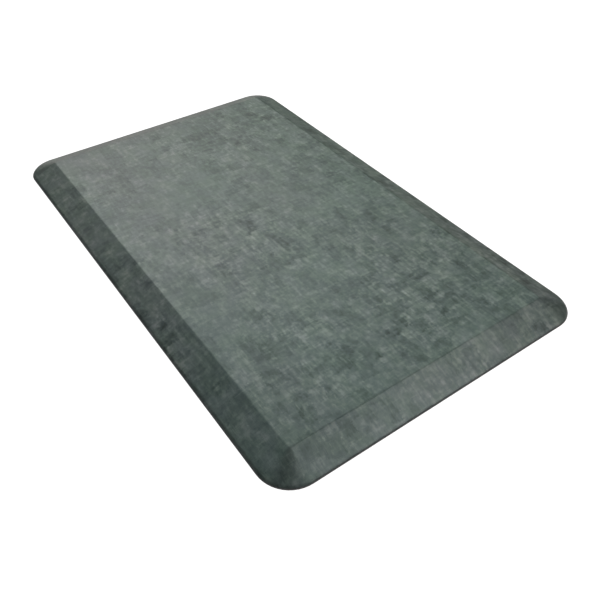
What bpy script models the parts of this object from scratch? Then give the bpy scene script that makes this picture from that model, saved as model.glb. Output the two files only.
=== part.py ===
"""Anti-fatigue mat: a bevelled foam slab holding a gel pad, under a formed vinyl cover, on a non-slip base.

Metres, +Z up. The origin is the centre of the underside. +X runs along the long side, +Y along the
short side, and every side carries the same long bevel down to a thin upright lip.
"""

import math

import bmesh
import bpy

INCH = 0.0254

# Outside of the whole mat
MAT_LENGTH = 32 * INCH
MAT_WIDTH = 20 * INCH
MAT_THICKNESS = 0.75 * INCH
CORNER_RADIUS = 0.046
BEVEL_RUN = 0.043  # level distance from the outer edge to the crease round the flat top
LIP_HEIGHT = 0.0025  # upright edge between the floor and the foot of the bevel
BEVEL_ANGLE = math.atan2(MAT_THICKNESS - LIP_HEIGHT, BEVEL_RUN)

# Layers
FIT_GAP = 0.0003  # glue line between two layers
BASE_THICKNESS = 0.0012
COVER_THICKNESS = 0.0012
BOND_MARGIN = 0.007  # width of the rim where the cover is bonded straight to the base
GEL_THICKNESS = 0.005
GEL_EDGE_INSET = 0.062  # from the mat's outer edge to the gel pad's edge
GEL_CORNER_RADIUS = 0.012

CORNER_SEGMENTS = 20  # straight facets in each rounded corner of an outline
CUT_OVERRUN = 0.004  # how far a cutter runs past the face that it opens

MODEL_NAME = "anti_fatigue_mat"


def clear_scene():
    """Removes whatever the scene holds before the mat is built."""
    for old in list(bpy.data.objects):
        bpy.data.objects.remove(old, do_unlink=True)


def new_collection(name):
    """A collection linked to the scene."""
    collection = bpy.data.collections.new(name)
    bpy.context.scene.collection.children.link(collection)
    return collection


def principled(name, colour, roughness, specular):
    """A non-metal Principled material with a linear RGB colour."""
    material = bpy.data.materials.new(name)
    material.use_nodes = True
    shader = material.node_tree.nodes["Principled BSDF"]
    shader.inputs["Base Color"].default_value = (*colour, 1.0)
    shader.inputs["Roughness"].default_value = roughness
    shader.inputs["Metallic"].default_value = 0.0
    shader.inputs["Specular IOR Level"].default_value = specular
    material.diffuse_color = (*colour, 1.0)
    return material


def add_object(name, bm, collection, material=None):
    """Turns the bmesh into an object, smooth round its corners and sharp at its edges."""
    mesh = bpy.data.meshes.new(name)
    bmesh.ops.recalc_face_normals(bm, faces=bm.faces[:])
    bm.to_mesh(mesh)
    bm.free()
    mesh.shade_smooth()
    mesh.set_sharp_from_angle(angle=math.radians(12))
    if material is not None:
        mesh.materials.append(material)
    obj = bpy.data.objects.new(name, mesh)
    collection.objects.link(obj)
    return obj


def rounded_slab(length, width, radius, bottom, top):
    """A bmesh box with its four upright corners rounded. Returns it with its top face."""
    bm = bmesh.new()
    bmesh.ops.create_cube(bm, size=1.0)
    height = top - bottom
    bmesh.ops.scale(bm, vec=(length, width, height), verts=bm.verts[:])
    bmesh.ops.translate(bm, vec=(0.0, 0.0, bottom + height / 2), verts=bm.verts[:])
    upright = [e for e in bm.edges if abs(e.verts[0].co.z - e.verts[1].co.z) > height / 2]
    bmesh.ops.bevel(
        bm,
        geom=upright,
        offset=radius,
        offset_type="OFFSET",
        segments=CORNER_SEGMENTS,
        profile=0.5,
        affect="EDGES",
    )
    bm.faces.ensure_lookup_table()
    top_face = max(bm.faces, key=lambda face: face.calc_center_median().z)
    return bm, top_face


def bevelled_block(edge_inset, bottom, depth):
    """A slab that stays `depth` inside the mat's bevels and top, square to them.

    Its outline is `edge_inset` in from the mat's, and its flat underside is at z = bottom.
    """
    lip_top = LIP_HEIGHT + edge_inset * math.tan(BEVEL_ANGLE) - depth / math.cos(BEVEL_ANGLE)
    crease_inset = BEVEL_RUN + depth * math.tan(BEVEL_ANGLE / 2)
    bm, top_face = rounded_slab(
        MAT_LENGTH - 2 * edge_inset,
        MAT_WIDTH - 2 * edge_inset,
        CORNER_RADIUS - edge_inset,
        bottom,
        lip_top,
    )
    bmesh.ops.inset_region(
        bm,
        faces=[top_face],
        thickness=crease_inset - edge_inset,
        depth=MAT_THICKNESS - depth - lip_top,
        use_even_offset=True,
    )
    return bm


def cut(obj, cutter):
    """Takes the cutter out of the object with an exact Boolean, and leaves the cutter as a wire guide."""
    cutter.hide_render = True
    cutter.display_type = "WIRE"
    difference = obj.modifiers.new("cut_" + cutter.name, "BOOLEAN")
    difference.operation = "DIFFERENCE"
    difference.solver = "EXACT"
    difference.object = cutter


def build_base_sheet(parts):
    """The non-slip sheet under the whole mat. Its edge is the dark line along the floor."""
    material = principled("base_rubber", (0.012, 0.014, 0.014), 0.8, 0.3)
    bm, _ = rounded_slab(MAT_LENGTH, MAT_WIDTH, CORNER_RADIUS, 0.0, BASE_THICKNESS)
    return add_object("base_sheet", bm, parts, material)


def build_cover_sheet(parts, cutters, bottom):
    """The printed vinyl skin over the top and all four bevels, with a solid rim where it meets the base."""
    material = principled("cover_vinyl", (0.11, 0.14, 0.125), 0.5, 0.5)
    cover = add_object("cover_sheet", bevelled_block(0.0, bottom, 0.0), parts, material)
    hollow = bevelled_block(BOND_MARGIN, bottom - CUT_OVERRUN, COVER_THICKNESS)
    cut(cover, add_object("cover_hollow", hollow, cutters))
    return cover


def gel_slab(clearance, bottom, top):
    """A bmesh of the gel pad's outline, grown by the clearance on every side."""
    bm, _ = rounded_slab(
        MAT_LENGTH - 2 * (GEL_EDGE_INSET - clearance),
        MAT_WIDTH - 2 * (GEL_EDGE_INSET - clearance),
        GEL_CORNER_RADIUS + clearance,
        bottom,
        top,
    )
    return bm


def build_foam_core(parts, cutters, bottom, gel_bottom):
    """The support foam, which carries the bevels and is open at the top to take the gel pad."""
    material = principled("core_foam", (0.05, 0.05, 0.052), 0.9, 0.2)
    block = bevelled_block(BOND_MARGIN + FIT_GAP, bottom, COVER_THICKNESS + FIT_GAP)
    foam = add_object("foam_core", block, parts, material)
    pocket = gel_slab(FIT_GAP, gel_bottom - FIT_GAP, MAT_THICKNESS + CUT_OVERRUN)
    cut(foam, add_object("gel_pocket", pocket, cutters))
    return foam


def build_gel_pad(parts, gel_bottom, gel_top):
    """The soft gel pad that lies in the foam, just under the flat top of the cover."""
    material = principled("gel_elastomer", (0.05, 0.16, 0.22), 0.35, 0.5)
    return add_object("gel_pad", gel_slab(0.0, gel_bottom, gel_top), parts, material)


def build_mat():
    """All the layers of the mat, from the floor up."""
    parts = new_collection(MODEL_NAME)
    cutters = new_collection(MODEL_NAME + "_cutters")
    above_base = BASE_THICKNESS + FIT_GAP
    gel_top = MAT_THICKNESS - COVER_THICKNESS - FIT_GAP
    gel_bottom = gel_top - GEL_THICKNESS

    root = bpy.data.objects.new(MODEL_NAME + "_origin", None)
    parts.objects.link(root)
    layers = [
        build_base_sheet(parts),
        build_foam_core(parts, cutters, above_base, gel_bottom),
        build_gel_pad(parts, gel_bottom, gel_top),
        build_cover_sheet(parts, cutters, above_base),
    ]
    for layer in layers:
        layer.parent = root


clear_scene()
build_mat()
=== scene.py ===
"""The looks of the anti-fatigue mat: its finished layers and their materials, pale floor and soft light."""

import math
from types import SimpleNamespace

import bmesh
import bpy
import numpy as np
from mathutils import Matrix, Vector


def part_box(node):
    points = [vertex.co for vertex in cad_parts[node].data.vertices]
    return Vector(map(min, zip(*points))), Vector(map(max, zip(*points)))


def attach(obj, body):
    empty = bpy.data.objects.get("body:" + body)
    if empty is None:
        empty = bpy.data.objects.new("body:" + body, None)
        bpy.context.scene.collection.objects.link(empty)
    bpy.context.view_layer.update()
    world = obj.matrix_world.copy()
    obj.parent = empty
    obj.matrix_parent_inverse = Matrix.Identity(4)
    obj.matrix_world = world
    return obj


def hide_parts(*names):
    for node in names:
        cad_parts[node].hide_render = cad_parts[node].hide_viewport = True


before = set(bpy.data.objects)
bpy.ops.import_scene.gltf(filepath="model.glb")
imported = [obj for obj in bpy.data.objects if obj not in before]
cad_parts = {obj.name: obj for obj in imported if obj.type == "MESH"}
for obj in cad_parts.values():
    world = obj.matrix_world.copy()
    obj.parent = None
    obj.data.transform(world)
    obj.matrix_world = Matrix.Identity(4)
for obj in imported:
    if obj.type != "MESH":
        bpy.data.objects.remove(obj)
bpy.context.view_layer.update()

MM = 0.001
TOLERANCE = 0.01 * MM  # points of the CAD closer than this count as level


# ---------------------------------------------------------------- sizes read from the CAD solids

def node_points(name):
    """The corner points of a CAD node, as an (n, 3) array in metres."""
    return np.array([vertex.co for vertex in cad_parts[name].data.vertices])


COVER = node_points("cover_sheet")
HALF_LENGTH = COVER[:, 0].max()
HALF_WIDTH = COVER[:, 1].max()
TOP_Z = COVER[:, 2].max()
RIM_Z = COVER[:, 2].min()
END_WALL = COVER[COVER[:, 0] > HALF_LENGTH - TOLERANCE]
LIP_Z = END_WALL[:, 2].max()
CORNER_RADIUS = HALF_WIDTH - END_WALL[:, 1].max()
BEVEL_RUN = HALF_LENGTH - COVER[COVER[:, 2] > TOP_Z - TOLERANCE][:, 0].max()
BEVEL_ANGLE = math.atan2(TOP_Z - LIP_Z, BEVEL_RUN)
BASE_TOP_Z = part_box("base_sheet")[1].z
CORE_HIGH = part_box("foam_core")[1]
FIT_GAP = RIM_Z - BASE_TOP_Z
COVER_THICKNESS = TOP_Z - CORE_HIGH.z - FIT_GAP
BOND_MARGIN = HALF_LENGTH - CORE_HIGH.x - FIT_GAP


# ---------------------------------------------------------------- rings round the mat, and the grid inside

class Outline:
    """The mat's rounded outline at any distance in from its edge, always with the same number of points.

    Each point moves in square to the edge. The corners' arcs shrink to the corners of a rectangle, which a
    grid of cells fills.
    """

    def __init__(self, cell, corner_steps):
        half = np.array([HALF_LENGTH, HALF_WIDTH]) - CORNER_RADIUS
        self.columns, self.rows = (round(2 * h / cell) for h in half)
        self.grid_x = np.linspace(-half[0], half[0], self.columns + 1)
        self.grid_y = np.linspace(-half[1], half[1], self.rows + 1)
        sides = [
            ([(i, 0) for i in range(self.columns)], -90),
            ([(self.columns, j) for j in range(self.rows)], 0),
            ([(i, self.rows) for i in range(self.columns, 0, -1)], 90),
            ([(0, j) for j in range(self.rows, 0, -1)], 180),
        ]
        self.anchors = []
        facings = []
        for along, facing in sides:
            self.anchors += [along[0]] * corner_steps + along
            facings += [facing - 90 + 90 * k / corner_steps for k in range(corner_steps)]
            facings += [facing] * len(along)
        turn = np.radians(facings)
        self.outward = np.stack([np.cos(turn), np.sin(turn)], axis=1)
        self.roots = np.array([[self.grid_x[i], self.grid_y[j]] for i, j in self.anchors])
        self.around = len(self.roots)

    def ring(self, inset, z):
        """The outline moved in by `inset`, at height z, anticlockwise from above."""
        flat = self.roots + self.outward * (CORNER_RADIUS - inset)
        return np.column_stack([flat, np.full(self.around, z)])

    def rings(self, profile):
        """A ring for each (inset, z) of the profile, as an (n, 3) array."""
        return np.concatenate([self.ring(inset, z) for inset, z in profile])

    def grid(self, z):
        """The grid's points at height z, row by row along +Y."""
        x, y = np.meshgrid(self.grid_x, self.grid_y)
        return np.column_stack([x.ravel(), y.ravel(), np.full(x.size, z)])

    def ring_faces(self, first_rings):
        """Quads from each ring to the next, given the index of each ring's first point."""
        faces = []
        for low, high in zip(first_rings, first_rings[1:]):
            for k in range(self.around):
                after = (k + 1) % self.around
                faces.append((low + k, low + after, high + after, high + k))
        return faces

    def grid_faces(self, first_point, last_ring):
        """The grid's quads, and the faces between its edge and the last ring round it."""
        def at(i, j):
            return first_point + j * (self.columns + 1) + i

        faces = [
            (at(i, j), at(i + 1, j), at(i + 1, j + 1), at(i, j + 1))
            for j in range(self.rows)
            for i in range(self.columns)
        ]
        for k in range(self.around):
            after = (k + 1) % self.around
            here, there = at(*self.anchors[k]), at(*self.anchors[after])
            inner = (here,) if here == there else (there, here)
            faces.append((last_ring + k, last_ring + after, *inner))
        return faces


def flipped(faces):
    """The same faces looking the other way."""
    return [tuple(reversed(face)) for face in faces]


ARC_STEPS = 10  # straight steps in each rounded corner of a profile


def rounded_profile(corners, radii, longest):
    """An (inset, z) polyline with its inner corners rounded and no step longer than `longest`."""
    points = [np.array(corners[0])]
    for before, here, after, radius in zip(corners, corners[1:], corners[2:], radii):
        here = np.array(here)
        back = (np.array(before) - here) / math.dist(before, here)
        ahead = (np.array(after) - here) / math.dist(after, here)
        opening = math.acos(back @ ahead)
        centre = here + (back + ahead) / np.linalg.norm(back + ahead) * radius / math.sin(opening / 2)
        x, z = here + back * radius / math.tan(opening / 2) - centre
        way_round = math.copysign(math.pi - opening, z * back[0] - x * back[1])
        for k in range(ARC_STEPS + 1):
            turn = way_round * k / ARC_STEPS
            swung = (x * math.cos(turn) - z * math.sin(turn), x * math.sin(turn) + z * math.cos(turn))
            points.append(centre + swung)
    points.append(np.array(corners[-1]))
    result = [points[0]]
    for a, b in zip(points, points[1:]):
        steps = max(1, math.ceil(math.dist(a, b) / longest))
        result += [a + (b - a) * k / steps for k in range(1, steps + 1)]
    return result


def add_object(name, data):
    """An object with this mesh, lamp or camera, linked to the scene."""
    obj = bpy.data.objects.new(name, data)
    bpy.context.scene.collection.objects.link(obj)
    return obj


SMOOTH_ANGLE = 30  # degrees, above which an edge is drawn sharp


def add_mesh(name, points, faces, smooth_angle=SMOOTH_ANGLE):
    """A mesh object, smooth except at edges sharper than the angle in degrees."""
    mesh = bpy.data.meshes.new(name)
    mesh.from_pydata(np.asarray(points).tolist(), [], faces)
    mesh.validate()
    mesh.shade_smooth()
    mesh.set_sharp_from_angle(angle=math.radians(smooth_angle))
    return add_object(name, mesh)


# ---------------------------------------------------------------- relief of the skin

UNDULATION = 0.16 * MM  # slow rise and fall of the skin over the foam
WAVE_SIZE = (90 * MM, 70 * MM)
RIPPLE_SIZE = (41 * MM, 37 * MM)
RIPPLE_SHARE = 0.5  # height of the ripples beside the waves
SLUB_RELIEF = 0.03 * MM  # thicker yarns pressed into the skin
SLUB_WIDTH = 6 * MM
SLUB_LENGTH = 34 * MM
RELIEF_START = 3 * MM  # distance in from the outline where the relief begins
RELIEF_FULL = 12 * MM
LATTICE = 64  # random heights each way before they repeat


def smooth_field(x, y, cell_x, cell_y, seed):
    """A smooth random height from -1 to 1, with features about cell_x by cell_y across."""
    lattice = np.random.default_rng(seed).uniform(-1, 1, (LATTICE, LATTICE))
    column, row = np.floor(x / cell_x), np.floor(y / cell_y)
    s, t = x / cell_x - column, y / cell_y - row
    s, t = s * s * (3 - 2 * s), t * t * (3 - 2 * t)
    i, j = column.astype(int) % LATTICE, row.astype(int) % LATTICE
    after_i, after_j = (i + 1) % LATTICE, (j + 1) % LATTICE
    low = lattice[i, j] * (1 - s) + lattice[after_i, j] * s
    high = lattice[i, after_j] * (1 - s) + lattice[after_i, after_j] * s
    return low * (1 - t) + high * t


def edge_distance(points):
    """How far in from the mat's outline each point lies."""
    past = np.abs(points[:, :2]) - (np.array([HALF_LENGTH, HALF_WIDTH]) - CORNER_RADIUS)
    outside = np.linalg.norm(np.maximum(past, 0), axis=1)
    return CORNER_RADIUS - outside - np.minimum(past.max(axis=1), 0)


def skin_relief(points):
    """Height to add to the cover's outer skin: slow waves and thick yarns, none of them at the lip."""
    x, y = points[:, 0], points[:, 1]
    slow = smooth_field(x, y, *WAVE_SIZE, seed=3) + RIPPLE_SHARE * smooth_field(x, y, *RIPPLE_SIZE, seed=4)
    weft = smooth_field(x, y, SLUB_LENGTH, SLUB_WIDTH, seed=5)
    warp = smooth_field(x, y, SLUB_WIDTH, SLUB_LENGTH, seed=6)
    fade = np.clip((edge_distance(points) - RELIEF_START) / (RELIEF_FULL - RELIEF_START), 0, 1)
    return fade * (UNDULATION * slow / (1 + RIPPLE_SHARE) + SLUB_RELIEF * (weft + warp))


# ---------------------------------------------------------------- node graphs for the materials

SHIFT_SKEW = 1.7  # how much further a noise is shifted along Y than along X


class Graph:
    """A material's node tree, with short calls for the nodes that the patterns use."""

    def __init__(self, name):
        self.material = bpy.data.materials.new(name)
        self.material.use_nodes = True
        self.tree = self.material.node_tree
        self.shader = self.tree.nodes["Principled BSDF"]
        self.place = self.tree.nodes.new("ShaderNodeTexCoord").outputs["Object"]

    def feed(self, socket, value):
        """Links an output to the socket, or sets the socket to a plain value."""
        if isinstance(value, bpy.types.NodeSocket):
            self.tree.links.new(value, socket)
        else:
            socket.default_value = value

    def calculate(self, operation, *values):
        """A Math node."""
        node = self.tree.nodes.new("ShaderNodeMath")
        node.operation = operation
        for socket, value in zip(node.inputs, values):
            self.feed(socket, value)
        return node.outputs[0]

    def total(self, *terms):
        """The sum of (value, weight) pairs."""
        result = 0.0
        for value, weight in terms:
            result = self.calculate("MULTIPLY_ADD", value, weight, result)
        return result

    def ramp(self, value, low, high, to_low=0.0, to_high=1.0):
        """Takes the value smoothly from low..high to to_low..to_high."""
        node = self.tree.nodes.new("ShaderNodeMapRange")
        node.interpolation_type = "SMOOTHSTEP"
        for socket, amount in zip(node.inputs, (value, low, high, to_low, to_high)):
            self.feed(socket, amount)
        return node.outputs["Result"]

    def noise(self, size_x, size_y, shift, detail=2.0, roughness=0.5, size_z=None):
        """Noise centred on 0, with patches about size_x by size_y metres, and size_z high if that is given.

        Each shift shows another part of the endless noise.
        """
        mapping = self.tree.nodes.new("ShaderNodeMapping")
        self.feed(mapping.inputs["Vector"], self.place)
        mapping.inputs["Scale"].default_value = (1 / size_x, 1 / size_y, 1 / size_z if size_z else 0.0)
        mapping.inputs["Location"].default_value = (shift, SHIFT_SKEW * shift, 0.0)
        noise = self.tree.nodes.new("ShaderNodeTexNoise")
        noise.noise_dimensions = "3D" if size_z else "2D"
        self.feed(noise.inputs["Vector"], mapping.outputs["Vector"])
        noise.inputs["Scale"].default_value = 1.0
        noise.inputs["Detail"].default_value = detail
        noise.inputs["Roughness"].default_value = roughness
        return self.calculate("SUBTRACT", noise.outputs["Fac"], 0.5)

    def along(self, axis):
        """How far along the X (0), Y (1) or Z (2) axis, in metres."""
        parts = self.tree.nodes.new("ShaderNodeSeparateXYZ")
        self.feed(parts.inputs[0], self.place)
        return parts.outputs[axis]

    def blocks(self, size_x, size_y, shove, shift):
        """A random number, 0 to 1, for each of a patchwork of rectangles about size_x by size_y metres.

        The shove, a value in metres for X and one for Y, makes their edges ragged. Every second row is
        staggered, and every third row has shorter rectangles.
        """
        joined = self.tree.nodes.new("ShaderNodeCombineXYZ")
        for axis, (size, push) in enumerate(zip((size_x, size_y), shove)):
            pushed = self.calculate("ADD", self.along(axis), push)
            self.feed(joined.inputs[axis], self.calculate("MULTIPLY_ADD", pushed, 1 / size, shift))
        bricks = self.tree.nodes.new("ShaderNodeTexBrick")
        bricks.offset, bricks.offset_frequency = 0.41, 2
        bricks.squash, bricks.squash_frequency = 0.63, 3
        self.feed(bricks.inputs["Vector"], joined.outputs[0])
        settings = {
            "Color1": (0.0, 0.0, 0.0, 1.0),
            "Color2": (1.0, 1.0, 1.0, 1.0),
            "Scale": 1.0,
            "Mortar Size": 0.0,
            "Brick Width": 1.0,
            "Row Height": 1.0,
        }
        for socket, value in settings.items():
            bricks.inputs[socket].default_value = value
        channels = self.tree.nodes.new("ShaderNodeSeparateColor")
        self.feed(channels.inputs[0], bricks.outputs["Color"])
        return channels.outputs[0]

    def mix(self, factor, a, b, blend="MIX"):
        """A colour between a and b."""
        node = self.tree.nodes.new("ShaderNodeMix")
        node.data_type = "RGBA"
        node.blend_type = blend
        self.feed(node.inputs[0], factor)
        colours = [socket for socket in node.inputs if socket.identifier.endswith("_Color")]
        for socket, colour in zip(colours, (a, b)):
            self.feed(socket, colour)
        return next(socket for socket in node.outputs if socket.identifier.endswith("_Color"))

    def tinted(self, colour, tint):
        """The colour times another."""
        return self.mix(1.0, colour, tint, blend="MULTIPLY")

    def brighten(self, colour, factor):
        """The colour times a number."""
        node = self.tree.nodes.new("ShaderNodeVectorMath")
        node.operation = "SCALE"
        self.feed(node.inputs[0], colour)
        self.feed(node.inputs["Scale"], factor)
        return node.outputs[0]

    def bump(self, height, depth):
        """Sets the shader's normal from a height, of which 1 stands for `depth` metres."""
        node = self.tree.nodes.new("ShaderNodeBump")
        node.inputs["Strength"].default_value = 1.0
        node.inputs["Distance"].default_value = depth
        self.feed(node.inputs["Height"], height)
        self.feed(self.shader.inputs["Normal"], node.outputs["Normal"])


# ---------------------------------------------------------------- the linen print

SLATE = (0.0985, 0.1300, 0.1154, 1.0)  # the print where it is darkest
SAGE = (0.1065, 0.1265, 0.1113, 1.0)  # the print where it is palest
MEAN_PRINT = (0.100, 0.126, 0.113, 1.0)
PLAIN_BRIGHTNESS = 0.87  # of the print, before its pattern, its slow fades and the painted light falloff are added
BROAD = (0.20, 0.15)  # size, in metres, of the broad drifts in contrast, hue and brightness
# Each of these five shifts was picked from 144, because its noise follows the photo's own slow changes.
# Noises for the slow brightness changes: partly the print's fading, partly painted light falloff.
FADE_AND_FALLOFF_SHIFTS = (47.08, 96.40)
CONTRAST_SHIFT = 179.97
HAZE_AND_PAINTED_SHEEN_SHIFTS = (3.24, 85.44)
PLUS_X_HALF = (0.0, 0.30)  # stretch of X, in metres, over which the lines get crisp and the haze, partly painted sheen tint, calms
QUIET_END = (0.32, 0.36)  # stretch of X over which the pattern quietens at the +X end
PAINTED_SHEEN_REACH_X = 0.36  # how far from the middle the painted sheen tint, drifting in hue between the corners, goes on
PAINTED_SHEEN_REACH_Y = 0.20
# The haze's two ends: partly the print's own hue, partly painted sheen tint where the lamps' reflection
# would be.
HAZE_AND_PAINTED_SHEEN_TINTS = ((0.950, 1.002, 0.971, 1.0), (1.036, 1.002, 1.021, 1.0))
COOL_TINT = (1.000, 0.965, 1.035, 1.0)
MINUS_X_PAINTED_SHEEN_TINTS = ((1.044, 1.000, 1.002, 1.0), (0.975, 1.000, 0.967, 1.0))  # painted sheen tint at the -X end, from the -Y to the +Y corner
# Painted sheen tint at the +X end, from the -Y to the +Y corner.
PLUS_X_PAINTED_SHEEN_TINTS = ((0.998, 1.000, 1.026, 1.0), (1.032, 1.000, 1.010, 1.0))
SHEEN_PATTERN = 0.80  # how much of the print's pattern shows in its sheen
SHEEN_FULL = 0.12  # the print's brightness where its sheen has full strength
CREASE_HEIGHTS = (TOP_Z - 4 * MM, TOP_Z - 0.5 * MM)  # between the bevels' print and the flat top's
EMBOSS_DEPTH = 0.06 * MM
LINEN_ROUGHNESS = 0.36
LINEN_SHINE = 0.75  # specular level


def linen_noises(graph):
    """The noises that the print is made of, from broad drifts to single threads.

    Weft runs along X and warp along Y.
    """
    return SimpleNamespace(
        drifts=graph.noise(0.085, 0.060, 2.1, detail=1.0),
        clouds=graph.noise(0.020, 0.016, 0.0, detail=4.0, roughness=0.62),
        mottle=graph.noise(0.0090, 0.0070, 55.3, detail=2.0, roughness=0.55),
        weft_bands=graph.noise(0.036, 0.0044, 5.3, detail=2.0),
        warp_bands=graph.noise(0.0044, 0.030, 8.9, detail=2.0),
        weft_yarns=graph.noise(0.008, 0.0023, 12.7, detail=1.5),
        warp_yarns=graph.noise(0.0023, 0.007, 17.1, detail=1.5),
        weft_threads=graph.noise(0.007, 0.0009, 23.3, detail=1.0),
        warp_threads=graph.noise(0.0009, 0.007, 29.9, detail=1.0),
        weft_strokes=graph.ramp(graph.noise(0.028, 0.0022, 31.7, detail=1.0), 0.19, 0.29),
        warp_strokes=graph.ramp(graph.noise(0.0022, 0.024, 37.3, detail=1.0), 0.20, 0.29),
        dark_strokes=graph.ramp(graph.noise(0.018, 0.0024, 41.9, detail=1.0), 0.20, 0.30),
        flecks=graph.ramp(graph.noise(0.0095, 0.0070, 47.1, detail=3.0, roughness=0.7), 0.15, 0.30),
    )


def ragged_blocks(graph, noises):
    """How dark the print is left in large and in small ragged rectangles."""
    waver = ((noises.mottle, 0.003), (noises.drifts, 0.020))
    shove = [graph.total((yarns, 0.007), *waver) for yarns in (noises.weft_yarns, noises.warp_yarns)]
    large = graph.blocks(0.036, 0.023, shove, 4.7)
    small = graph.blocks(0.017, 0.014, shove, 9.4)
    return (
        graph.total((graph.ramp(large, 0.60, 0.68), 1.0), (large, 0.5)),
        graph.total((graph.ramp(small, 0.68, 0.76), 1.0), (small, 0.5)),
    )


def linen_contrast(graph):
    """How strongly the pattern shows: more towards +X, +Y and down the bevels, less at the very +X end."""
    broad = graph.noise(*BROAD, CONTRAST_SHIFT, detail=1.0)
    overall = graph.total((broad, 0.65), (graph.along(0), 0.22), (graph.along(1), 0.40))
    overall = graph.ramp(overall, -0.25, 0.25, 0.56, 1.20)
    slope = graph.ramp(graph.along(2), *CREASE_HEIGHTS, 1.20, 1.0)
    end = graph.ramp(graph.along(0), *QUIET_END, 1.0, 0.62)
    return graph.calculate("MULTIPLY", overall, graph.calculate("MULTIPLY", slope, end))


def linen_tone(graph, noises):
    """The pattern in brightness: patches worn pale, dark blocks, crossed yarns, strokes and flecks."""
    blocks, small_blocks = ragged_blocks(graph, noises)
    wear = graph.total(
        (noises.clouds, 1.2),
        (noises.drifts, 0.3),
        (noises.weft_bands, 0.6),
        (noises.warp_bands, 0.5),
        (noises.mottle, 0.7),
        (blocks, -0.05),
    )
    base = graph.ramp(wear, -0.60, 0.50)
    worn = graph.ramp(wear, -0.02, 0.50)
    clusters = graph.total((noises.clouds, 1.0), (noises.drifts, 0.7), (noises.weft_bands, 0.5))
    clusters = graph.ramp(clusters, -0.15, 0.25)
    weave = graph.total((noises.weft_yarns, 0.55), (noises.warp_yarns, 0.45))
    lines = graph.total(
        (weave, 0.20),
        (noises.weft_threads, 0.07),
        (noises.warp_threads, 0.05),
        (noises.weft_strokes, 0.30),
        (noises.warp_strokes, 0.25),
        (noises.dark_strokes, -0.17),
    )
    crispness = graph.ramp(graph.along(0), *PLUS_X_HALF, 0.62, 0.98)
    detail = graph.total(
        (base, 0.30),
        (worn, 0.46),
        (blocks, -0.15),
        (small_blocks, -0.16),
        (noises.mottle, 0.36),
        (graph.calculate("MULTIPLY", lines, crispness), 1.0),
        (graph.calculate("MULTIPLY", noises.flecks, clusters), 0.95),
    )
    return graph.total((base, 0.13), (graph.calculate("MULTIPLY", detail, linen_contrast(graph)), 1.0))


def fade_and_painted_falloff(graph):
    """Slow changes in brightness, partly the print's own fading and partly painted light falloff, with
    painted shade darkening it towards +Y.
    """
    return graph.total(
        (graph.noise(0.42, 0.30, FADE_AND_FALLOFF_SHIFTS[0], detail=0.0), 0.20),
        (graph.noise(*BROAD, FADE_AND_FALLOFF_SHIFTS[1], detail=1.0), -0.14),
        (graph.along(1), -0.04),
    )


def linen_colour(graph, tone):
    """Slate to sage by the tone, with a broad haze partly of the print and partly painted sheen tint, a
    painted sheen tint drifting in hue between corners, and cooler patches.
    """
    colour = graph.mix(graph.ramp(tone, -0.15, 0.75), SLATE, SAGE)
    # Broad haze in hue, partly print and partly painted sheen tint, full on the -X half and calmer towards
    # +X.
    haze = graph.total(
        (graph.noise(*BROAD, HAZE_AND_PAINTED_SHEEN_SHIFTS[0], detail=1.0), 1.0),
        (graph.noise(*BROAD, HAZE_AND_PAINTED_SHEEN_SHIFTS[1], detail=1.0), 0.75),
    )
    calm = graph.ramp(graph.along(0), *PLUS_X_HALF, 0.0, 0.25)
    haze = graph.ramp(haze, -0.35, 0.35, calm, graph.calculate("SUBTRACT", 1.0, calm))
    colour = graph.tinted(colour, graph.mix(haze, *HAZE_AND_PAINTED_SHEEN_TINTS))
    # Painted sheen colour: the hue drifts between the corners as the lamps' reflection would tint it.
    across = graph.ramp(graph.along(1), -PAINTED_SHEEN_REACH_Y, PAINTED_SHEEN_REACH_Y)
    ends = [graph.mix(across, *tints) for tints in (MINUS_X_PAINTED_SHEEN_TINTS, PLUS_X_PAINTED_SHEEN_TINTS)]
    painted_sheen_drift = graph.mix(graph.ramp(graph.along(0), -PAINTED_SHEEN_REACH_X, PAINTED_SHEEN_REACH_X), *ends)
    colour = graph.tinted(colour, painted_sheen_drift)
    cool = graph.ramp(graph.noise(0.034, 0.026, 71.9, detail=3.0), -0.18, 0.18)
    return graph.mix(cool, colour, graph.tinted(colour, COOL_TINT))


def linen_vinyl():
    """Grey-green linen print on embossed vinyl, with a sheen that follows the print; its colour also holds
    painted light falloff and painted sheen tints.
    """
    graph = Graph("linen_vinyl")
    noises = linen_noises(graph)
    tone = linen_tone(graph, noises)
    # The base colour takes the print's slow fading and the painted light falloff and shade here.
    pattern = graph.total((tone, 1.0), (fade_and_painted_falloff(graph), 1.0))
    shaded = graph.brighten(linen_colour(graph, tone), graph.calculate("ADD", PLAIN_BRIGHTNESS, pattern))
    graph.feed(graph.shader.inputs["Base Color"], shaded)
    sheen = graph.mix(SHEEN_PATTERN, MEAN_PRINT, shaded)
    graph.feed(graph.shader.inputs["Specular Tint"], graph.brighten(sheen, 1 / SHEEN_FULL))
    polish = graph.total(
        (noises.clouds, 0.10),
        (noises.weft_bands, 0.06),
        (noises.weft_yarns, 0.05),
        (noises.warp_yarns, 0.05),
    )
    graph.feed(graph.shader.inputs["Roughness"], graph.calculate("ADD", LINEN_ROUGHNESS, polish))
    graph.shader.inputs["Specular IOR Level"].default_value = LINEN_SHINE
    height = graph.total(
        (noises.weft_yarns, 0.8),
        (noises.warp_yarns, 0.8),
        (noises.weft_threads, 0.6),
        (noises.warp_threads, 0.6),
        (noises.weft_strokes, 0.3),
        (noises.warp_strokes, 0.3),
    )
    graph.bump(height, EMBOSS_DEPTH)
    return graph.material


# ---------------------------------------------------------------- the other layers' materials

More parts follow.
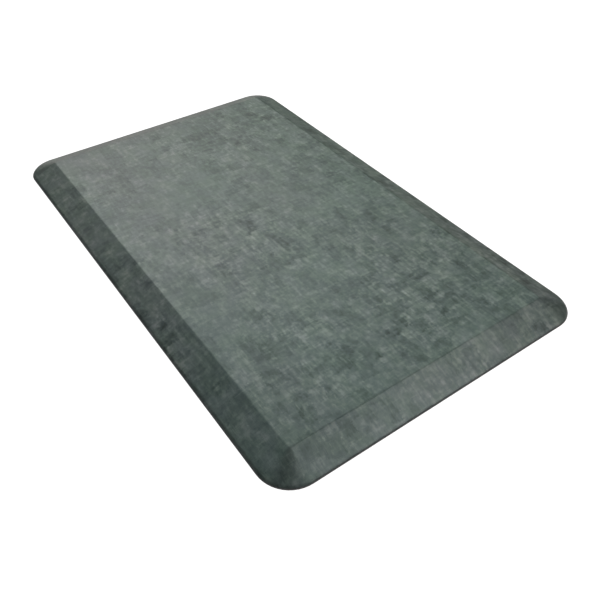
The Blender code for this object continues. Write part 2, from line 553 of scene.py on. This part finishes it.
RUBBER_COLOURS = ((0.106, 0.109, 0.108, 1.0), (0.124, 0.127, 0.126, 1.0))
DUST_SIZE = 30 * MM
RUBBER_GRAIN = 0.6 * MM
FOAM_COLOUR = (0.050, 0.050, 0.052)
FOAM_CELL = 1.1 * MM
FOAM_PATCH = 25 * MM
GEL_COLOURS = ((0.035, 0.13, 0.18, 1.0), (0.06, 0.19, 0.25, 1.0))
GEL_CLOUD = 50 * MM
BUBBLE_COLOUR = (0.22, 0.40, 0.45, 1.0)
BUBBLE_SIZE = 2.4 * MM


def base_rubber():
    """Dark grey non-slip rubber with a fine dusty grain."""
    graph = Graph("base_rubber")
    dust = graph.ramp(graph.noise(DUST_SIZE, DUST_SIZE, 2.0, detail=4.0, size_z=DUST_SIZE), -0.05, 0.25)
    graph.feed(graph.shader.inputs["Base Color"], graph.mix(dust, *RUBBER_COLOURS))
    grain = graph.noise(RUBBER_GRAIN, RUBBER_GRAIN, 7.0, detail=3.0, size_z=RUBBER_GRAIN)
    graph.feed(graph.shader.inputs["Roughness"], graph.calculate("MULTIPLY_ADD", grain, 0.2, 0.75))
    graph.bump(grain, 0.1 * MM)
    return graph.material


def core_foam():
    """Charcoal foam with a skin of fine open cells."""
    graph = Graph("core_foam")
    cells = graph.noise(FOAM_CELL, FOAM_CELL, 4.0, detail=3.0, roughness=0.7, size_z=FOAM_CELL)
    patches = graph.noise(FOAM_PATCH, FOAM_PATCH, 9.0, detail=3.0, size_z=FOAM_PATCH)
    tone = graph.calculate("ADD", 1.0, graph.total((cells, 0.9), (patches, 0.4)))
    graph.feed(graph.shader.inputs["Base Color"], graph.brighten(FOAM_COLOUR, tone))
    graph.feed(graph.shader.inputs["Roughness"], graph.calculate("MULTIPLY_ADD", cells, 0.2, 0.88))
    graph.bump(cells, 0.5 * MM)
    return graph.material


def gel_elastomer():
    """Blue-green gel, satin, with small bubbles near its skin."""
    graph = Graph("gel_elastomer")
    depth = graph.noise(GEL_CLOUD, GEL_CLOUD, 1.0, detail=2.0, size_z=GEL_CLOUD)
    bubbles = graph.noise(BUBBLE_SIZE, BUBBLE_SIZE, 6.0, detail=1.0, size_z=BUBBLE_SIZE)
    bubbles = graph.ramp(bubbles, 0.14, 0.24)
    colour = graph.mix(graph.ramp(depth, -0.15, 0.15), *GEL_COLOURS)
    graph.feed(graph.shader.inputs["Base Color"], graph.mix(bubbles, colour, BUBBLE_COLOUR))
    graph.feed(graph.shader.inputs["Roughness"], graph.calculate("MULTIPLY_ADD", depth, 0.3, 0.32))
    graph.bump(bubbles, 0.1 * MM)
    return graph.material


# ---------------------------------------------------------------- the layers

COVER_CELL = 2.6 * MM
COVER_CORNER_STEPS = 24
COVER_SMOOTH_ANGLE = 40  # degrees
LIP_RADIUS = 7 * MM
CREASE_RADIUS = 8 * MM
LAST_RING = 0.4 * MM  # the innermost ring stops this far outside the grid


def build_cover():
    """The printed skin: lip, rounded edge, bevel, soft crease and wavy top, with a hollow underneath."""
    outline = Outline(COVER_CELL, COVER_CORNER_STEPS)
    last_inset = CORNER_RADIUS - LAST_RING
    outside = rounded_profile(
        [(0.0, -LIP_RADIUS), (0.0, LIP_Z), (BEVEL_RUN, TOP_Z), (last_inset, TOP_Z)],
        [LIP_RADIUS, CREASE_RADIUS],
        COVER_CELL,
    )
    rim_inset = np.interp(RIM_Z, [z for _, z in outside], [inset for inset, _ in outside])
    outside = [(rim_inset, RIM_Z)] + [(inset, z) for inset, z in outside if z > RIM_Z]
    wall_z = LIP_Z + BOND_MARGIN * math.tan(BEVEL_ANGLE) - COVER_THICKNESS / math.cos(BEVEL_ANGLE)
    under_crease = BEVEL_RUN + COVER_THICKNESS * math.tan(BEVEL_ANGLE / 2)
    ceiling = TOP_Z - COVER_THICKNESS
    inside = [(BOND_MARGIN, RIM_Z), (BOND_MARGIN, wall_z), (under_crease, ceiling), (last_inset, ceiling)]

    outer = np.concatenate([outline.rings(outside), outline.grid(TOP_Z)])
    outer[:, 2] += skin_relief(outer)
    outer_rings = [r * outline.around for r in range(len(outside))]
    grid_start = len(outside) * outline.around
    inner_start = len(outer)
    inner_rings = [inner_start + r * outline.around for r in range(len(inside))]

    faces = outline.ring_faces(outer_rings) + outline.grid_faces(grid_start, outer_rings[-1])
    faces += flipped(outline.ring_faces([0, *inner_rings]))
    faces.append(tuple(range(inner_rings[-1], inner_rings[-1] + outline.around))[::-1])
    points = np.concatenate([outer, outline.rings(inside)])
    return add_mesh("linen_cover", points, faces, COVER_SMOOTH_ANGLE)


BASE_CELL = 10 * MM
BASE_CORNER_STEPS = 12
BASE_TOP_RADIUS = 0.9 * MM
BASE_FOOT_RADIUS = 0.15 * MM
GRIP_BORDER = 9 * MM  # plain border round the field of grip dots
GRIP_SLOPE = 0.4 * MM
GRIP_HEIGHT = 0.35 * MM
DOT_RADIUS = 2.6 * MM
DOT_TIP_RADIUS = 2.1 * MM
DOT_SIDES = 8
DOT_CLEARANCE = 2 * MM  # from a dot's cell to the border


def grip_cells(outline):
    """The column and row of each cell clear of the border, and a cell's size along X and Y."""
    step_x = outline.grid_x[1] - outline.grid_x[0]
    step_y = outline.grid_y[1] - outline.grid_y[0]
    across, along = int(HALF_LENGTH / step_x), int(HALF_WIDTH / step_y)
    cells = []
    for j in range(-along, along):
        for i in range(-across, across):
            corners = np.array([((i + a) * step_x, (j + b) * step_y) for a in (0, 1) for b in (0, 1)])
            if edge_distance(corners).min() > GRIP_BORDER + GRIP_SLOPE + DOT_CLEARANCE:
                cells.append((i, j))
    return cells, step_x, step_y


def add_dot(bm, middle):
    """A low round dot with its tip on the floor. Returns the points of its foot, anticlockwise from +X."""
    turns = [2 * math.pi * k / DOT_SIDES for k in range(DOT_SIDES)]
    spokes = [Vector((math.cos(turn), math.sin(turn), 0.0)) for turn in turns]
    foot = [bm.verts.new(middle + s * DOT_RADIUS + Vector((0, 0, GRIP_HEIGHT))) for s in spokes]
    tip = [bm.verts.new(middle + s * DOT_TIP_RADIUS) for s in spokes]
    bm.faces.new(tip[::-1])
    for k in range(DOT_SIDES):
        after = (k + 1) % DOT_SIDES
        bm.faces.new((foot[k], tip[k], tip[after], foot[after]))
    return foot


def build_base():
    """The non-slip sheet: a plain border on the floor and a field of low round dots inside it."""
    outline = Outline(BASE_CELL, BASE_CORNER_STEPS)
    profile = rounded_profile(
        [(CORNER_RADIUS - LAST_RING, BASE_TOP_Z), (0.0, BASE_TOP_Z), (0.0, 0.0), (GRIP_BORDER, 0.0)],
        [BASE_TOP_RADIUS, BASE_FOOT_RADIUS],
        BASE_CELL,
    )
    profile.append((GRIP_BORDER + GRIP_SLOPE, GRIP_HEIGHT))
    bm = bmesh.new()
    points = outline.rings(profile)
    verts = [bm.verts.new(point) for point in points]
    starts = [r * outline.around for r in range(len(profile))]
    for face in flipped(outline.ring_faces(starts)):
        bm.faces.new([verts[k] for k in face])
    bm.faces.new(verts[: outline.around])

    cells, step_x, step_y = grip_cells(outline)
    lattice = {}

    def lattice_vert(i, j):
        if (i, j) not in lattice:
            lattice[i, j] = bm.verts.new((i * step_x, j * step_y, GRIP_HEIGHT))
        return lattice[i, j]

    for i, j in cells:
        foot = add_dot(bm, Vector(((i + 0.5) * step_x, (j + 0.5) * step_y, 0.0)))
        corners = [lattice_vert(i + a, j + b) for a, b in ((1, 1), (0, 1), (0, 0), (1, 0))]
        for q in range(4):
            nearest = [foot[(2 * q + side) % DOT_SIDES] for side in (1, 2, 3)]
            bm.faces.new((corners[q], *nearest, corners[(q + 1) % 4]))

    # The strip between the field of dots and the border round it.
    open_edges = [edge for edge in bm.edges if len(edge.link_faces) == 1]
    bmesh.ops.triangle_fill(bm, edges=open_edges, use_beauty=True, normal=(0, 0, -1))
    bmesh.ops.recalc_face_normals(bm, faces=bm.faces[:])
    mesh = bpy.data.meshes.new("grip_base")
    bm.to_mesh(mesh)
    bm.free()
    mesh.shade_smooth()
    mesh.set_sharp_from_angle(angle=math.radians(SMOOTH_ANGLE))
    return add_object("grip_base", mesh)


FOAM_ROUNDING = 0.5 * MM
GEL_ROUNDING = 1.2 * MM
MERGE_DISTANCE = 0.001 * MM
FLAT_ANGLE = 1  # degrees, below which two faces of the CAD are one
ROUNDED_ANGLE = 18  # degrees, above which an edge is rounded


def rounded_copy(node, name, width):
    """A copy of a CAD node's mesh with its edges rounded."""
    bm = bmesh.new()
    bm.from_mesh(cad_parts[node].data)
    bmesh.ops.remove_doubles(bm, verts=bm.verts[:], dist=MERGE_DISTANCE)
    bmesh.ops.dissolve_limit(bm, angle_limit=math.radians(FLAT_ANGLE), verts=bm.verts[:], edges=bm.edges[:])
    mesh = bpy.data.meshes.new(name)
    bm.to_mesh(mesh)
    bm.free()
    mesh.shade_smooth()
    obj = add_object(name, mesh)
    bevel = obj.modifiers.new("round", "BEVEL")
    bevel.width = width
    bevel.segments = 3
    bevel.limit_method = "ANGLE"
    bevel.angle_limit = math.radians(ROUNDED_ANGLE)
    return obj


def finish_layer(obj, node, material):
    """Dresses a layer, joins it to the one body, and hides the CAD node it stands for."""
    obj.data.materials.clear()
    obj.data.materials.append(material)
    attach(obj, "root")
    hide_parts(node)


# ---------------------------------------------------------------- camera, floor and light

# The camera is fitted by least squares to the mat's outline in the photo.
CAMERA_AZIMUTH = math.radians(54.82)  # round from -Y towards +X
CAMERA_ELEVATION = math.radians(43.65)
CAMERA_ROLL = math.radians(-0.22)
CAMERA_DISTANCE = 0.945
CAMERA_AIM = Vector((0.39 * HALF_LENGTH, -0.20 * HALF_WIDTH, 0.0))
CAMERA_LENS_MM = 39.9
CAMERA_SENSOR_MM = 36.0
FLOOR_SIZE = 14.0
FLOOR_DROP = 0.1 * MM  # below the mat's underside
FLOOR_COLOURS = ((0.93, 0.93, 0.93, 1.0), (0.90, 0.90, 0.90, 1.0))
FLOOR_GLOW = 0.75  # seen by the camera only, so it lights nothing
SOFTBOX_SPREAD = 30  # degrees across
# Fitted by least squares to the brightness and colour of the photo's flat top, bevels and lip.
SOFTBOXES = [  # name, azimuth, elevation, strength, colour
    ("side_fill", 32, 31, 0.574, (1.00, 0.92, 0.94)),
    ("top_fill", 53, 57, 0.692, (1.00, 0.94, 0.94)),
    ("key", 157, 40, 0.500, (1.00, 0.96, 0.96)),
    ("key_left", 183, 37, 0.196, (0.99, 1.00, 1.00)),
    ("key_right", 125, 45, 0.293, (0.86, 1.00, 0.93)),
    ("horizon", 165, 7, 0.170, (1.00, 0.88, 0.84)),
    ("horizon_right", 125, 11, 0.042, (0.74, 1.00, 0.75)),
    ("back_fill", 205, 63, 0.170, (0.82, 1.00, 0.99)),
]
SURROUND_LIGHT = 0.02  # strength of the surround for everything but the camera


def add_camera():
    """The camera above the near corner, held level but for a small roll."""
    away = Vector((
        math.sin(CAMERA_AZIMUTH) * math.cos(CAMERA_ELEVATION),
        -math.cos(CAMERA_AZIMUTH) * math.cos(CAMERA_ELEVATION),
        math.sin(CAMERA_ELEVATION),
    ))
    right = Vector((math.cos(CAMERA_AZIMUTH), math.sin(CAMERA_AZIMUTH), 0.0))
    turn = Matrix((right, away.cross(right), away)).transposed().to_4x4()
    camera = add_object("camera", bpy.data.cameras.new("camera"))
    camera.data.lens = CAMERA_LENS_MM
    camera.data.sensor_width = CAMERA_SENSOR_MM
    camera.matrix_world = (
        Matrix.Translation(CAMERA_AIM + away * CAMERA_DISTANCE) @ turn @ Matrix.Rotation(CAMERA_ROLL, 4, "Z")
    )
    bpy.context.scene.camera = camera


def add_floor():
    """A plain white floor, which looks evenly white because the camera sees it glow a little."""
    graph = Graph("floor")
    speck = graph.noise(0.4, 0.4, 0.0, detail=2.0)
    graph.feed(graph.shader.inputs["Base Color"], graph.mix(speck, *FLOOR_COLOURS))
    graph.shader.inputs["Roughness"].default_value = 0.9
    graph.shader.inputs["Specular IOR Level"].default_value = 0.1
    graph.shader.inputs["Emission Color"].default_value = (1.0, 1.0, 1.0, 1.0)
    light_path = graph.tree.nodes.new("ShaderNodeLightPath")
    glow = graph.calculate("MULTIPLY", light_path.outputs["Is Camera Ray"], FLOOR_GLOW)
    graph.feed(graph.shader.inputs["Emission Strength"], glow)
    half = FLOOR_SIZE / 2
    corners = [(x, y, -FLOOR_DROP) for x, y in ((-half, -half), (half, -half), (half, half), (-half, half))]
    floor = add_mesh("floor", corners, [(0, 1, 2, 3)])
    floor.data.materials.append(graph.material)


def add_softbox(name, azimuth, elevation, strength, colour):
    """A distant soft light from a compass direction, anticlockwise from +X, both angles in degrees."""
    light = bpy.data.lights.new(name, "SUN")
    light.angle = math.radians(SOFTBOX_SPREAD)
    light.energy = strength
    light.color = colour
    lamp = add_object(name, light)
    turn, rise = math.radians(azimuth), math.radians(elevation)
    source = Vector((math.cos(turn) * math.cos(rise), math.sin(turn) * math.cos(rise), math.sin(rise)))
    lamp.rotation_euler = source.to_track_quat("Z", "Y").to_euler()


def light_scene():
    """Softboxes beyond the mat and to the camera's right, and a dim surround that it sees as white."""
    for softbox in SOFTBOXES:
        add_softbox(*softbox)
    world = bpy.data.worlds.new("surround")
    world.use_nodes = True
    tree = world.node_tree
    background = tree.nodes["Background"]
    background.inputs["Color"].default_value = (1.0, 1.0, 1.0, 1.0)
    seen = tree.nodes.new("ShaderNodeMapRange")
    tree.links.new(tree.nodes.new("ShaderNodeLightPath").outputs["Is Camera Ray"], seen.inputs["Value"])
    seen.inputs["To Min"].default_value = SURROUND_LIGHT
    seen.inputs["To Max"].default_value = 1.0
    tree.links.new(seen.outputs["Result"], background.inputs["Strength"])
    bpy.context.scene.world = world


# ---------------------------------------------------------------- the scene

cover = build_cover()
base = build_base()
foam = rounded_copy("foam_core", "bevelled_foam", FOAM_ROUNDING)
gel = rounded_copy("gel_pad", "soft_gel_pad", GEL_ROUNDING)
finish_layer(cover, "cover_sheet", linen_vinyl())
finish_layer(base, "base_sheet", base_rubber())
finish_layer(foam, "foam_core", core_foam())
finish_layer(gel, "gel_pad", gel_elastomer())

add_camera()
add_floor()
light_scene()
bpy.context.scene.view_settings.view_transform = "Standard"
